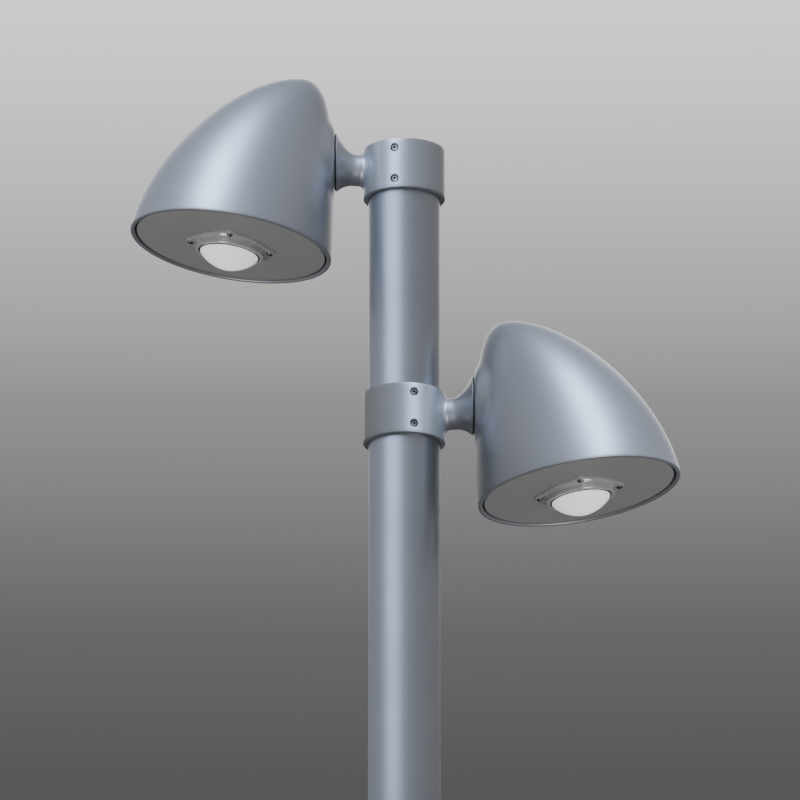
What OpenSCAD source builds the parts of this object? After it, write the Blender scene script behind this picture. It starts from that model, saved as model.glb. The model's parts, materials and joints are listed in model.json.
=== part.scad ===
// Twin-head mast luminaire: the top section of a round mast that carries two
// aimable LED heads, one above the other, on opposite sides.
// Origin: the mast's axis at the foot of the section. +Z is up. The upper head
// reaches towards -X and the lower head towards +X. Sizes are in millimetres.

/* [Mast] */
// Outside diameter of the mast tube
mast_d = 76.1; // [60.3:0.1:101.6]
// Wall of the mast tube
mast_wall = 3; // [2:0.1:5]
// Length of the mast tube
mast_h = 900; // [750:10:1200]
// Thickness of the cap's lid
cap_t = 2.5; // [2:0.1:5]
// Depth of the cap's skirt inside the tube
cap_skirt = 14; // [8:1:18]

/* [Spigot] */
// Wall of the spigot that joins the section to the mast below
spigot_wall = 5; // [3:0.5:8]
// Length of the spigot inside the mast tube
spigot_seat = 100; // [60:5:150]
// Length of the spigot below the mast tube
spigot_free = 100; // [60:5:150]
// Radial clearance between the spigot's lower half and the next tube
spigot_play = 0.55; // [0.45:0.05:0.8]
// Thread of the screws that hold the spigot
joint_screw_d = 8; // [5:1:10]
// Distance of the screws from the joint between the tubes
joint_screw_z = 30; // [20:1:50]

/* [Collar] */
// Height of the collar that holds each head on the mast
collar_h = 55; // [50:1:80]
// Wall of the collar
collar_wall = 5.4; // [4.6:0.1:8]
// Radial running clearance between the collar and the mast
collar_play = 0.08; // [0.02:0.01:0.1]
// Height between the two collars
unit_drop = 275; // [260:5:320]
// How far the mast's cap lies below the top of the upper collar
cap_sink = 0.5; // [0:0.1:2]

/* [Set screws] */
// Thread of the set screws in the collar
set_screw_d = 8; // [5:1:10]
// Distance of the screws from the collar's upper and lower edges
set_screw_edge = 10; // [8:0.5:14]
// Angle of the side screws from the arm
set_screw_angle = 76; // [60:1:100]
// Depth of the screw's end below the collar's surface
set_screw_sink = 0.6; // [0.2:0.1:1.5]

/* [Neck] */
// Diameter of the neck
neck_d = 33.6; // [30:0.2:40]
// Height of the neck's axis above the middle of the collar
neck_rise = 6; // [2:0.5:8]
// Radius of the fillet where the neck meets the collar
neck_fillet = 8; // [4:0.5:10]
// Diameter of the flange that the head turns on
flange_d = 63; // [56:1:80]
// Thickness of the flange's edge
flange_t = 2.5; // [2:0.5:5]
// Height of the flange's axis above the middle of the collar
flange_rise = 15.4; // [12:0.2:18]
// Distance from the collar's surface to the flange's face
neck_reach = 29.47; // [26:0.01:60]
// Diameter of the cable way through the neck
cable_way_d = 12; // [8:0.5:14]

/* [Swivel] */
// Outside diameter of the hollow stud
stud_d = 18; // [16:1:22]
// Bore of the stud
stud_bore = 11; // [8:0.5:13]
// Depth of the stud in the flange
stud_seat = 8; // [6:0.5:10]
// Radial running clearance between the stud and the head's hub
stud_play = 0.05; // [0.02:0.01:0.1]
// Thickness of the gasket on the flange
gasket_t = 1.2; // [0.8:0.1:3]
// Running gap between parts that turn against each other
turn_gap = 0.2; // [0.1:0.05:0.3]
// Thickness of the washer under the nut
washer_t = 2; // [1:0.5:4]
// Height of the nut
nut_h = 8; // [6:0.5:12]
// Width across the nut's flats
nut_flats = 27; // [24:1:32]

/* [Head shell] */
// Diameter of the shell's rim
rim_d = 217.4; // [200:0.1:262]
// Height of the shell above the rim plane
head_h = 199; // [190:1:240]
// Sideways place of the shell's peak, towards the mast
peak_shift = 47.5; // [30:0.5:60]
// Tilt of the rim plane, outer end up
head_tilt = 9.3; // [0:0.1:15]
// Wall of the shell
head_wall = 4.5; // [3.5:0.1:6]
// Depth of the rim's centre below the middle of the collar
head_drop = 80.5; // [70:0.5:100]
// How far the hub's face stands proud of the shell
hub_proud = 0.4; // [0.2:0.1:3]
// Length of the hub
hub_len = 11; // [10:0.5:16]

/* [Cover plate] */
// Depth of the plate's face inside the rim
plate_sink = 2; // [1.5:0.5:6]
// Thickness of the plate
plate_t = 3; // [2:0.5:5]
// Gap between the plate and the rim's wall
plate_gap = 2.4; // [1:0.1:3]
// Thickness of the plate's seal
seal_t = 2; // [1:0.5:4]
// Width of the ledge that the plate closes against
ledge_w = 6; // [5:0.5:10]
// Height of the ledge
ledge_h = 4; // [3:0.5:6]

/* [Lens] */
// Diameter of the diffusing dome
dome_d = 62.4; // [50:0.1:76]
// Height of the dome above its straight edge
dome_h = 17.5; // [8:0.5:30]
// Wall of the dome
dome_wall = 2.5; // [1.5:0.1:4]
// Thickness of the soft sleeve round the dome
dome_seal_t = 1.6; // [1:0.1:3]
// Wall of the lens ring's collar
ring_wall = 3.6; // [2.5:0.1:5]
// Height of the lens ring's collar over the plate
ring_h = 9.4; // [5:0.1:12]
// Thickness of the lens ring's flange
ring_t = 3; // [2:0.1:4]
// Width of the lens ring's flange outside its collar
ring_edge = 2.6; // [1:0.1:5]
// Distance of the four lens screws from the lens ring's collar
lens_screw_out = 6.5; // [5.5:0.5:10]
// Diameter of the lens screws
lens_screw_d = 4; // [3:0.5:5]
// Radius of the lens ring's ears
ear_r = 4.6; // [4:0.1:6]

/* [Light engine] */
// Thickness of the heat sink's disc
sink_t = 6; // [4:0.5:10]
// Space between the cover plate and the heat sink
sink_space = 14; // [10:1:20]
// Diameter of the heat sink's pedestal
pedestal_d = 48; // [36:1:52]
// Thickness of the LED board
board_t = 1.6; // [1:0.1:3]
// Diameter of the LED board
board_d = 60; // [56:1:64]
// Diameter of the light source on the board
chip_d = 24; // [12:1:30]
// Height of the cooling fins
fin_h = 20; // [10:1:30]
// Thickness of a cooling fin
fin_t = 2; // [1:0.5:4]
// Distance between fins
fin_pitch = 12; // [8:1:16]

/* [Driver] */
// Length of the driver's case
driver_l = 84; // [60:1:90]
// Width of the driver's case
driver_w = 48; // [30:1:54]
// Height of the driver's case
driver_h = 28; // [20:1:34]
// Length of a tab at the end of the driver's case
tab_l = 9; // [8:0.5:12]
// Thickness of the sheet that the driver stands on
sheet_t = 2; // [1:0.1:3]
// Width of the sheet between its legs
sheet_w = 124; // [110:1:130]

/* [Hidden] */
$fn = 64;
SIDES = ["upper", "lower"];
UNIT_PARTS = [
    "bracket", "set_screws", "swivel_stud", "swivel_gasket", "swivel_washer",
    "swivel_nut", "cable_bush", "head_shell", "cover_plate", "plate_seal",
    "lens_ring", "lens_dome", "dome_seal", "lens_screws", "lens_spacers",
    "led_board", "led_chip", "heat_sink", "sink_screws", "driver_bracket",
    "bracket_screws", "driver", "driver_screws", "terminal_block", "led_lead"
];

EPS = 1;                                   // overshoot of a cut past a face
fit = 0.1;                                 // clearance of a screw in its hole
turn_range = 30;                           // turn of a collar each way
mast_r = mast_d / 2;
mast_in_r = mast_r - mast_wall;
collar_in_r = mast_r + collar_play;
collar_r = collar_in_r + collar_wall;
arm_reach = collar_r + neck_reach;         // face of the flange, from the mast's axis
neck_r = neck_d / 2;
flange_r = flange_d / 2;
flare_end_r = 8;                           // radius where the flare runs out in the neck
flare_len = arm_reach - flange_t - collar_r - 4;
slot_rise = 5;                             // height of the cable slot above the collar's middle
slot_r = 7;                                // half the height of the cable slot
upper_z = mast_h + cap_t + cap_sink - collar_h / 2;

gasket_x = arm_reach + gasket_t;
hub_x = gasket_x + turn_gap;               // face of the hub, from the mast's axis
hub_end_x = hub_x + hub_len;
washer_x = hub_end_x + turn_gap;
nut_x = washer_x + washer_t;
stud_end_x = nut_x + nut_h + 2;
bush_len = 6;
bush_lip = 2;

rim_r = rim_d / 2;
rim_in_r = rim_r - head_wall;
head_in_h = head_h - head_wall;
far_power = [1.68, 1.6];                   // shape of the outer sweep
near_power = [1.15, 2.5];                  // shape of the side at the mast
SEGS = 48;                                 // sides of the shell's rings
RINGS = 14;                                // rings between rim and peak

plate_r = rim_in_r - plate_gap;
plate_top = plate_sink + plate_t;
ledge_z = plate_top + seal_t;
ledge_in_r = rim_in_r - ledge_w;
sink_z = plate_top + sink_space;
sink_top = sink_z + sink_t;
sink_r = ledge_in_r - 1.2;
shelf_in_r = sink_r - 6;
shelf_h = 6;
sink_screw_d = 4;
sink_screw_r = sink_r - 3;
sink_screw_len = sink_t + 5;
dome_r = dome_d / 2;
ring_in_r = dome_r + dome_seal_t + fit;
ring_r = ring_in_r + ring_wall;
lens_screw_r = ring_r + lens_screw_out;
ring_top = plate_sink - ring_h;            // lowest point of the ring's collar
plate_hole_r = dome_r - dome_wall - 0.6;
dome_edge = plate_sink - ring_h - 0.4;     // where the dome starts to curve in
chip_t = 1.2;
board_z = plate_top + chip_t + 0.2;
pedestal_z = board_z + board_t;
sheet_z = sink_top + fin_h + 4;
sheet_l = driver_l + 2 * tab_l;
leg_w = 30;
foot_l = 14;
small_screw_d = 4;
plug_x = pedestal_d / 2 + 1;               // near side of the board's plug
LEAD_R = 2.5;
lead_hole = 8;                             // side of the square hole that the lead drops through
LEAD = [
    [-42, 18, 66], [-46, 18, 66], [-52, 18, 65.5], [-57, 18, 63.5], [-60.5, 18, 60], [-62, 18, 55],
    [-62, 18, 48], [-62, 18, 40], [-62, 18, 32], [-62, 18, 25], [-61.5, 18, 20], [-59, 18, 15.5],
    [-54, 17.5, 12.4], [-48, 16.4, 11.4], [-42, 15, 11], [-36.5, 13.6, 11], [-31.5, 11.5, 11], [-28.5, 8.5, 11],
    [-27.5, 6, 11], [-27.5, 4, 11]
];

// Places a unit's pieces: the arm points to -X of the upper collar, +X of the lower one.
module at_collar(side) {
    z = side == "upper" ? upper_z : upper_z - unit_drop;
    translate([0, 0, z]) rotate([0, 0, side == "upper" ? 0 : 180]) children();
}

// The head's own frame: origin at the rim's centre, X towards the mast, Z into the head.
module in_head() {
    translate([-hub_x - hub_offset, 0, -head_drop]) rotate([0, head_tilt, 0]) children();
}

// A solid of revolution about the line to the head at a height, starting at distance x.
module along_arm(x, z) {
    translate([-x, 0, z]) rotate([0, -90, 0]) children();
}

module tube(r_out, r_in, h) {
    difference() {
        cylinder(r = r_out, h = h);
        translate([0, 0, -EPS]) cylinder(r = r_in, h = h + 2 * EPS);
    }
}

module ring_of(n, r, start = 0) {
    for (i = [0 : n - 1]) rotate([0, 0, start + i * 360 / n]) translate([r, 0, 0]) children();
}

// ---- mast ----

// A slot through the mast for the cable of one head, long enough for the collar's turn.
module cable_slot(side) {
    half = turn_range + asin(slot_r / mast_r);
    at_collar(side) translate([0, 0, slot_rise]) rotate([0, 0, 180 - half])
        rotate_extrude(angle = 2 * half)
            translate([mast_in_r - EPS, -slot_r]) square([mast_wall + 2 * EPS, 2 * slot_r]);
}

module mast_tube() {
    color("lightsteelblue") difference() {
        tube(mast_r, mast_in_r, mast_h);
        for (side = SIDES) cable_slot(side);
        joint_screw_places(joint_screw_z) translate([0, 0, mast_in_r - 2])
            cylinder(d = joint_screw_d + 4 * fit, h = mast_wall + 4);
    }
}

// Three places round the mast at a height, each looking outwards.
module joint_screw_places(z) {
    for (a = [90, 210, 330]) rotate([0, 0, a]) translate([0, 0, z]) rotate([0, 90, 0]) children();
}

// The sleeve that plugs this section into the mast below: a close upper half, a looser lower half.
module mast_spigot() {
    seat_r = mast_in_r - fit;
    free_r = mast_in_r - spigot_play;
    bore_r = seat_r - spigot_wall;
    color("silver") difference() {
        rotate_extrude() polygon([
            [bore_r, -spigot_free + 2], [bore_r + 2, -spigot_free], [free_r - 2, -spigot_free],
            [free_r, -spigot_free + 4], [free_r, 0], [seat_r, 0], [seat_r, spigot_seat - 2],
            [seat_r - 2, spigot_seat], [bore_r, spigot_seat]
        ]);
        for (z = [-joint_screw_z, joint_screw_z]) joint_screw_places(z) translate([0, 0, bore_r - 2])
            cylinder(d = joint_screw_d, h = spigot_wall + 4);
    }
}

// Button-head screws that hold the spigot in the tube.
module mast_screws() {
    head_h = 4;
    head_r = joint_screw_d * 0.85;
    tip = mast_in_r - fit - spigot_wall + 0.5;
    color("silver") joint_screw_places(joint_screw_z) difference() {
        union() {
            translate([0, 0, tip]) cylinder(d = joint_screw_d - 2 * fit, h = mast_r - tip + EPS / 2);
            translate([0, 0, mast_r]) cylinder(r = head_r, h = head_h * 0.45);
            translate([0, 0, mast_r + head_h * 0.45]) cylinder(r1 = head_r, r2 = head_r * 0.6, h = head_h * 0.55);
        }
        translate([0, 0, mast_r + head_h - 2.6]) cylinder(d = joint_screw_d * 0.7, h = 2.6 + EPS, $fn = 6);
    }
}

// A plastic lid on the tube's end, with a skirt that plugs into the bore.
module mast_cap() {
    color("dimgray") translate([0, 0, mast_h]) rotate_extrude() polygon([
        [0, 0], [mast_in_r - 2.6, 0], [mast_in_r - 2.6, -cap_skirt], [mast_in_r - 0.9, -cap_skirt],
        [mast_in_r - 0.1, -cap_skirt + 3], [mast_in_r - 0.1, 0], [mast_r - 0.2, 0],
        [mast_r - 0.2, cap_t - 0.8], [mast_r - 1, cap_t], [0, cap_t]
    ]);
}

// ---- bracket: collar, neck and flange in one casting ----

function flare_r(t) = flange_r - (flange_r - flare_end_r) * sqrt(1 - pow(1 - t, 2));

module flare() {
    steps = 10;
    rotate_extrude() polygon(concat(
        [[0, 0]],
        [for (i = [0 : steps]) [flare_r(i / steps), i * flare_len / steps]],
        [[0, flare_len]]
    ));
}

module neck_root() {
    steps = 6;
    rotate_extrude() polygon(concat(
        [[0, -neck_r]],
        [[neck_r + neck_fillet, -neck_r]],
        [for (i = [0 : steps])
            [neck_r + neck_fillet * (1 - sin(i * 90 / steps)), neck_fillet * (1 - cos(i * 90 / steps))]],
        [[0, neck_fillet]]
    ));
}

module set_screw_places() {
    for (a = [180 - set_screw_angle, 0, 180 + set_screw_angle], z = [-1, 1])
        rotate([0, 0, a]) translate([0, 0, z * (collar_h / 2 - set_screw_edge)])
            rotate([0, 90, 0]) children();
}

module cable_way() {
    from = [-mast_r + 2, 0, slot_rise];
    to = [-arm_reach + stud_seat - 2, 0, flange_rise];
    run = to - from;
    translate(from) rotate([0, -90 + atan2(run[2], -run[0]), 0])
        cylinder(d = cable_way_d, h = norm(run));
}

module bracket() {
    color("lightsteelblue") difference() {
        union() {
            translate([0, 0, -collar_h / 2]) cylinder(r = collar_r, h = collar_h);
            along_arm(mast_r, neck_rise) cylinder(r = neck_r, h = arm_reach - flange_t - mast_r);
            along_arm(arm_reach - flange_t, flange_rise) cylinder(r = flange_r, h = flange_t);
            along_arm(arm_reach - flange_t, flange_rise) mirror([0, 0, 1]) flare();
            intersection() {
                along_arm(collar_r - 2, neck_rise) neck_root();
                translate([-2 * collar_r, -collar_r, -collar_h / 2]) cube([2 * collar_r, 2 * collar_r, collar_h]);
            }
        }
        translate([0, 0, -collar_h / 2 - EPS]) cylinder(r = collar_in_r, h = collar_h + 2 * EPS);
        cable_way();
        along_arm(arm_reach - stud_seat, flange_rise) cylinder(d = stud_d, h = stud_seat + EPS);
        set_screw_places() translate([0, 0, collar_in_r - 2]) cylinder(d = set_screw_d, h = collar_wall + 4);
    }
}

// Cup-point set screws with a hexagon socket, run in until they nearly touch the mast.
module set_screws() {
    start = mast_r + 0.3;
    length = collar_r - set_screw_sink - start;
    color("silver") set_screw_places() translate([0, 0, start]) difference() {
        union() {
            cylinder(d1 = set_screw_d - 2.5, d2 = set_screw_d - 2 * fit, h = 1);
            translate([0, 0, 1]) cylinder(d = set_screw_d - 2 * fit, h = length - 1);
        }
        translate([0, 0, length - 3]) cylinder(d = set_screw_d * 0.57, h = 3 + EPS, $fn = 6);
    }
}

// ---- swivel between neck and head ----

module swivel_stud() {
    color("silver") along_arm(arm_reach - stud_seat, flange_rise) difference() {
        cylinder(d = stud_d, h = stud_end_x - arm_reach + stud_seat);
        translate([0, 0, -EPS]) cylinder(d = stud_bore, h = stud_end_x - arm_reach + stud_seat + 2 * EPS);
    }
}

module swivel_gasket() {
    color("black") along_arm(arm_reach, flange_rise) tube(flange_r - 1.2, stud_d / 2 + fit, gasket_t);
}

module swivel_washer() {
    color("silver") along_arm(washer_x, flange_rise) tube(nut_flats / 2 + 4, stud_d / 2 + fit, washer_t);
}

module swivel_nut() {
    color("silver") along_arm(nut_x, flange_rise) difference() {
        cylinder(d = nut_flats / cos(30), h = nut_h, $fn = 6);
        translate([0, 0, -EPS]) cylinder(d = stud_d, h = nut_h + 2 * EPS);
    }
}

// A rubber bush in the stud's end, which the cable passes through.
module cable_bush() {
    color("black") along_arm(stud_end_x - bush_len, flange_rise) difference() {
        union() {
            cylinder(d = stud_bore - fit, h = bush_len);
            translate([0, 0, bush_len]) cylinder(d = stud_bore + 3, h = bush_lip);
        }
        translate([0, 0, -EPS]) cylinder(d = stud_bore - 5, h = bush_len + bush_lip + 2 * EPS);
    }
}

// ---- head shell ----

// Reach of the shell's outline from the rim's centre, away from and towards the mast.
function far_x(z, r, h) = peak_shift - (r + peak_shift) * pow(max(0, 1 - pow(z / h, far_power[0])), 1 / far_power[1]);
function near_x(z, r, h) = peak_shift + (r - peak_shift) * pow(max(0, 1 - pow(z / h, near_power[0])), 1 / near_power[1]);

// Distance from the rim's centre to the hub's face: the shell's furthest reach to the mast, and a little more.
hub_offset = hub_proud + max([for (i = [0 : RINGS])
    let (z = head_h * i / RINGS) near_x(z, rim_r, head_h) * cos(head_tilt) + z * sin(head_tilt)]);

// One ring of points, as [middle, radius, height].
function shell_ring(z, r, h) = [(far_x(z, r, h) + near_x(z, r, h)) / 2, (near_x(z, r, h) - far_x(z, r, h)) / 2, z];
function ring_points(ring) = [for (i = [0 : SEGS - 1])
    [ring[0] + ring[1] * cos(i * 360 / SEGS), ring[1] * sin(i * 360 / SEGS), ring[2]]];
function band(a, b) = [for (i = [0 : SEGS - 1]) each [
    [a + i, a + (i + 1) % SEGS, b + i],
    [a + (i + 1) % SEGS, b + (i + 1) % SEGS, b + i]]];
function fan(a, tip) = [for (i = [0 : SEGS - 1]) [a + i, a + (i + 1) % SEGS, tip]];

// Outside rings from the rim up to the peak, then inside rings from the peak down to the rim.
outer_rings = [for (i = [0 : RINGS - 1]) shell_ring(head_h * sin(90 * i / RINGS), rim_r, head_h)];
shelf_top = sink_top + shelf_h;
cavity_rings = [for (i = [RINGS - 1 : -1 : 0])
    shell_ring(shelf_top + (head_in_h - shelf_top) * sin(90 * i / RINGS), rim_in_r, head_in_h)];
rim_rings = [
    [0, shelf_in_r, shelf_top], [0, shelf_in_r, sink_top], shell_ring(sink_top, rim_in_r, head_in_h),
    shell_ring(ledge_z + ledge_h, rim_in_r, head_in_h), [0, ledge_in_r, ledge_z + ledge_h],
    [0, ledge_in_r, ledge_z], [0, rim_in_r, ledge_z], [0, rim_in_r, 0]
];
inner_rings = concat(cavity_rings, rim_rings);

module shell_body() {
    rings_out = len(outer_rings);
    rings_in = len(inner_rings);
    peak_out = rings_out * SEGS;
    peak_in = peak_out + 1;
    first_in = peak_in + 1;
    points = concat(
        [for (ring = outer_rings) each ring_points(ring)],
        [[peak_shift, 0, head_h], [peak_shift, 0, head_in_h]],
        [for (ring = inner_rings) each ring_points(ring)]
    );
    faces = concat(
        [for (i = [0 : rings_out - 2]) each band(i * SEGS, (i + 1) * SEGS)],
        fan((rings_out - 1) * SEGS, peak_out),
        [for (f = fan(first_in, peak_in)) [f[1], f[0], f[2]]],
        [for (i = [0 : rings_in - 2]) each band(first_in + i * SEGS, first_in + (i + 1) * SEGS)],
        band(first_in + (rings_in - 1) * SEGS, 0)
    );
    polyhedron(points, [for (f = faces) [f[2], f[1], f[0]]]);
}

module sink_screw_places() {
    ring_of(3, sink_screw_r, 60) children();
}

module head_shell() {
    color("lightsteelblue") difference() {
        union() {
            in_head() shell_body();
            along_arm(hub_x, flange_rise) cylinder(r = flange_r, h = hub_len);
        }
        along_arm(hub_x - EPS, flange_rise) cylinder(r = stud_d / 2 + stud_play, h = hub_len + 2 * EPS);
        in_head() sink_screw_places() translate([0, 0, sink_top - EPS])
            cylinder(d = sink_screw_d, h = sink_screw_len - sink_t + EPS + 0.5);
    }
}

// ---- cover plate and lens ----

module lens_screw_places() {
    ring_of(4, lens_screw_r) children();
}

module cover_plate() {
    color("gray") in_head() translate([0, 0, plate_sink]) difference() {
        tube(plate_r, plate_hole_r, plate_t);
        lens_screw_places() translate([0, 0, -EPS]) cylinder(d = lens_screw_d + 2 * fit, h = plate_t + 2 * EPS);
    }
}

module plate_seal() {
    color("black") in_head() translate([0, 0, plate_top]) tube(rim_in_r - 0.8, ledge_in_r + 0.2, seal_t);
}

// A clear ring that clamps the dome: a flange with four ears and a raised collar.
module lens_ring() {
    color([0.9, 0.92, 0.93, 0.45]) in_head() difference() {
        union() {
            translate([0, 0, ring_top]) cylinder(r = ring_r, h = ring_h);
            translate([0, 0, plate_sink - ring_t]) cylinder(r = ring_r + ring_edge, h = ring_t);
            translate([0, 0, plate_sink - ring_t]) ring_of(4, 0) {
                translate([lens_screw_r, 0, 0]) cylinder(r = ear_r, h = ring_t);
                linear_extrude(ring_t) polygon([
                    [ring_r - 4, -ring_r * 0.62], [ring_r - 4, ring_r * 0.62],
                    [lens_screw_r + ear_r * 0.45, ear_r * 0.89], [lens_screw_r + ear_r * 0.45, -ear_r * 0.89]
                ]);
            }
        }
        translate([0, 0, ring_top - EPS]) cylinder(r = ring_in_r, h = ring_h + 2 * EPS);
        lens_screw_places() translate([0, 0, plate_sink - ring_t - EPS])
            cylinder(d = lens_screw_d + 2 * fit, h = ring_t + 2 * EPS);
    }
}

function dome_z(r, r_max, h) = dome_edge - h * pow(max(0, 1 - pow(r / r_max, 1.8)), 0.8);

module lens_dome() {
    steps = 12;
    r_in = dome_r - dome_wall;
    color("white") in_head() rotate_extrude() polygon(concat(
        [[dome_r, plate_sink]],
        [for (i = [0 : steps]) let (r = dome_r * cos(90 * i / steps)) [r, dome_z(r, dome_r, dome_h)]],
        [for (i = [steps : -1 : 0]) let (r = r_in * cos(90 * i / steps)) [r, dome_z(r, r_in, dome_h - dome_wall)]],
        [[r_in, plate_sink]]
    ));
}

module dome_seal() {
    color("black") in_head() translate([0, 0, ring_top + 0.5])
        tube(dome_r + dome_seal_t, dome_r + fit / 2, ring_h - 0.5);
}

module lens_screws() {
    head_t = 2.2;
    head_r = lens_screw_d * 0.85;
    face = plate_sink - ring_t;
    color("silver") in_head() lens_screw_places() difference() {
        union() {
            translate([0, 0, face - head_t]) cylinder(r1 = head_r - 0.6, r2 = head_r, h = 0.6);
            translate([0, 0, face - head_t + 0.6]) cylinder(r = head_r, h = head_t - 0.6);
            translate([0, 0, face]) cylinder(d = lens_screw_d - 2 * fit, h = sink_top - face);
        }
        translate([0, 0, face - head_t - EPS]) cylinder(d = lens_screw_d * 0.62, h = 1.5 + EPS, $fn = 6);
    }
}

// Tubes on the lens screws that hold the plate and the heat sink apart.
module lens_spacers() {
    color("silver") in_head() lens_screw_places() translate([0, 0, plate_top])
        tube(lens_screw_d / 2 + 2.2, lens_screw_d / 2 + fit, sink_space);
}

// ---- light engine ----

module led_board() {
    color("white") in_head() {
        translate([0, 0, board_z]) cylinder(d = board_d, h = board_t);
        translate([-plug_x - 5, -4, pedestal_z]) cube([5, 8, 4.4]);
    }
}

module led_chip() {
    color("gold") in_head() translate([0, 0, board_z - chip_t]) cylinder(d = chip_d, h = chip_t);
}

module heat_sink() {
    fins = floor((sheet_w / 2 - 8) / fin_pitch);
    color("gray") in_head() difference() {
        union() {
            translate([0, 0, sink_z]) cylinder(r = sink_r, h = sink_t);
            translate([0, 0, pedestal_z]) cylinder(d = pedestal_d, h = sink_z - pedestal_z + EPS);
            for (i = [-fins : fins]) {
                half = sqrt(pow(shelf_in_r - 4, 2) - pow(i * fin_pitch, 2));
                translate([-half, i * fin_pitch - fin_t / 2, sink_top - EPS]) cube([2 * half, fin_t, fin_h + EPS]);
            }
        }
        lens_screw_places() translate([0, 0, sink_z - EPS]) cylinder(d = lens_screw_d, h = sink_t + fin_h + EPS);
        sink_screw_places() translate([0, 0, sink_z - EPS])
            cylinder(d = sink_screw_d + 2 * fit, h = sink_t + 2 * EPS);
        bracket_screw_places() translate([0, 0, sink_z - EPS]) cylinder(d = small_screw_d, h = sink_t + 2 * EPS);
        translate([LEAD[9][0] - lead_hole / 2, LEAD[9][1] - lead_hole / 2, sink_z - EPS])
            cube([lead_hole, lead_hole, sink_t + 2 * EPS]);
    }
}

module sink_screws() {
    head_t = 2.4;
    color("silver") in_head() sink_screw_places() {
        translate([0, 0, sink_z - head_t]) cylinder(r = sink_screw_d * 0.72, h = head_t);
        translate([0, 0, sink_z]) cylinder(d = sink_screw_d - 2 * fit, h = sink_screw_len);
    }
}

// ---- driver ----

module bracket_screw_places() {
    for (s = [-1, 1]) translate([0, s * (sheet_w / 2 + foot_l / 2), 0]) children();
}

module driver_screw_places() {
    for (s = [-1, 1]) translate([s * (driver_l + tab_l) / 2, 0, 0]) children();
}

// A folded sheet that stands over the fins and carries the driver.
module driver_bracket() {
    color("silver") in_head() difference() {
        union() {
            translate([-sheet_l / 2, -sheet_w / 2, sheet_z]) cube([sheet_l, sheet_w, sheet_t]);
            for (s = [0, 180]) rotate([0, 0, s]) {
                translate([-leg_w / 2, sheet_w / 2 - sheet_t, sink_top])
                    cube([leg_w, sheet_t, sheet_z - sink_top + sheet_t]);
                translate([-leg_w / 2, sheet_w / 2 - sheet_t, sink_top]) cube([leg_w, foot_l + sheet_t, sheet_t]);
            }
        }
        bracket_screw_places() translate([0, 0, sink_top - EPS])
            cylinder(d = small_screw_d + 2 * fit, h = sheet_t + 2 * EPS);
        driver_screw_places() translate([0, 0, sheet_z - EPS]) cylinder(d = small_screw_d, h = sheet_t + 2 * EPS);
    }
}

module small_screw(grip) {
    head_t = 2.4;
    cylinder(r = small_screw_d * 0.85, h = head_t);
    translate([0, 0, -grip]) cylinder(d = small_screw_d - 2 * fit, h = grip);
}

module bracket_screws() {
    color("silver") in_head() bracket_screw_places() translate([0, 0, sink_top + sheet_t])
        small_screw(sheet_t + sink_t - 0.5);
}

module driver() {
    edge = 2;
    color("whitesmoke") in_head() translate([0, 0, sheet_z + sheet_t]) difference() {
        union() {
            translate([-driver_l / 2, driver_w / 2, 0]) rotate([90, 0, 0]) linear_extrude(driver_w) polygon([
                [0, 0], [driver_l, 0], [driver_l, driver_h - edge], [driver_l - edge, driver_h],
                [edge, driver_h], [0, driver_h - edge]
            ]);
            translate([-sheet_l / 2, -driver_w / 4, 0]) cube([sheet_l, driver_w / 2, 2.5]);
        }
        driver_screw_places() translate([0, 0, -EPS]) cylinder(d = small_screw_d + 2 * fit, h = 2.5 + 2 * EPS);
    }
}

module driver_screws() {
    color("silver") in_head() driver_screw_places() translate([0, 0, sheet_z + sheet_t + 2.5])
        small_screw(2.5 + sheet_t);
}

// A row of wire clamps beside the driver.
module terminal_block() {
    poles = 3;
    pole_w = 11;
    depth = 15;
    height = 17;
    color("white") in_head()
        translate([-poles * pole_w / 2, -driver_w / 2 - depth - 2, sheet_z + sheet_t]) difference() {
            cube([poles * pole_w, depth, height]);
            for (i = [0 : poles - 1]) translate([(i + 0.5) * pole_w, 0, 0]) {
                translate([0, -EPS, 5]) rotate([-90, 0, 0]) cylinder(d = 5, h = 8);
                translate([0, depth / 2, height - 7]) cylinder(d = 6, h = 7 + EPS);
            }
        }
}

// ---- lead from the driver to the LED board ----

LEAD_SIDES = 8;
function unit_of(v) = v / norm(v);
function heading(i) = unit_of(LEAD[min(i + 1, len(LEAD) - 1)] - LEAD[max(i - 1, 0)]);
// Two directions square to the lead: one level, one the rest of the way round.
function level(i) = unit_of(cross(heading(i), [0.02, 1, 0.01]));
function lead_ring(i) = [for (k = [0 : LEAD_SIDES - 1])
    LEAD[i] + LEAD_R * (cos(k * 360 / LEAD_SIDES) * level(i)
        + sin(k * 360 / LEAD_SIDES) * cross(heading(i), level(i)))];

module led_lead() {
    n = len(LEAD);
    sides = [for (i = [0 : n - 2], k = [0 : LEAD_SIDES - 1]) each [
        [i * LEAD_SIDES + k, (i + 1) * LEAD_SIDES + k, i * LEAD_SIDES + (k + 1) % LEAD_SIDES],
        [i * LEAD_SIDES + (k + 1) % LEAD_SIDES, (i + 1) * LEAD_SIDES + k, (i + 1) * LEAD_SIDES + (k + 1) % LEAD_SIDES]
    ]];
    ends = [
        [for (k = [0 : LEAD_SIDES - 1]) k],
        [for (k = [LEAD_SIDES - 1 : -1 : 0]) (n - 1) * LEAD_SIDES + k]
    ];
    color("white") in_head() polyhedron([for (i = [0 : n - 1]) each lead_ring(i)], concat(sides, ends));
}

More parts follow.
